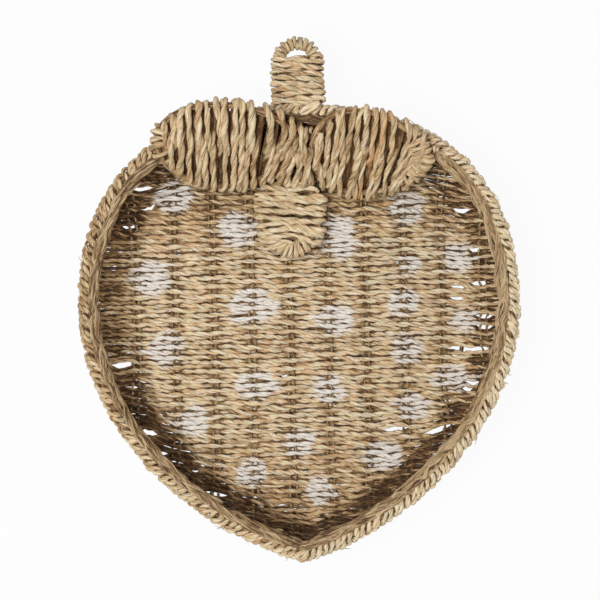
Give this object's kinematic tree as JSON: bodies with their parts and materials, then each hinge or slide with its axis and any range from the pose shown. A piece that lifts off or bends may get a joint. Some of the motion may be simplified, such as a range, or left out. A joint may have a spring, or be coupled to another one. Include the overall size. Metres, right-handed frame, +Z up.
{
  "type": "woven seagrass tray",
  "caption": "Low strawberry-shaped tray of twisted seagrass cord on a wire frame, with a flared wall, wound rim, leaves and a stem with a hanging eye; holds small things.",
  "frame": {"origin": "middle of the footprint, on the flat underside of the base", "axes": "+Z up out of the open tray, +Y toward the stem, +X to the right with the stem at the top"},
  "size_m": [0.3196, 0.3792, 0.0646],
  "materials": {
    "steel_wire": "satin",
    "seagrass_weft": "matte",
    "seagrass_warp": "matte",
    "seagrass_winding": "matte",
    "seagrass_edge": "matte"
  },
  "bodies": {
    "root": {"rim_hoop": "steel_wire", "base_hoop": "steel_wire", "upright_1": "steel_wire", "upright_2": "steel_wire", "upright_3": "steel_wire", "upright_4": "steel_wire", "upright_5": "steel_wire", "upright_6": "steel_wire", "left_leaf_frame": "steel_wire", "right_leaf_frame": "steel_wire", "sepal_frame": "steel_wire", "stem_frame": "steel_wire", "warp_1": "seagrass_warp", "warp_2": "seagrass_warp", "warp_3": "seagrass_warp", "warp_4": "seagrass_warp", "warp_5": "seagrass_warp", "warp_6": "seagrass_warp", "warp_7": "seagrass_warp", "warp_8": "seagrass_warp", "warp_9": "seagrass_warp", "warp_10": "seagrass_warp", "weft_bed": "seagrass_weft", "rim_wrap": "seagrass_winding", "left_leaf_wrap": "seagrass_winding", "right_leaf_wrap": "seagrass_winding", "sepal_wrap": "seagrass_winding", "stem_wrap": "seagrass_winding", "eye_wrap": "seagrass_winding", "edge_strand_upper": "seagrass_edge", "edge_strand_lower": "seagrass_edge"}
  },
  "joints": []
}
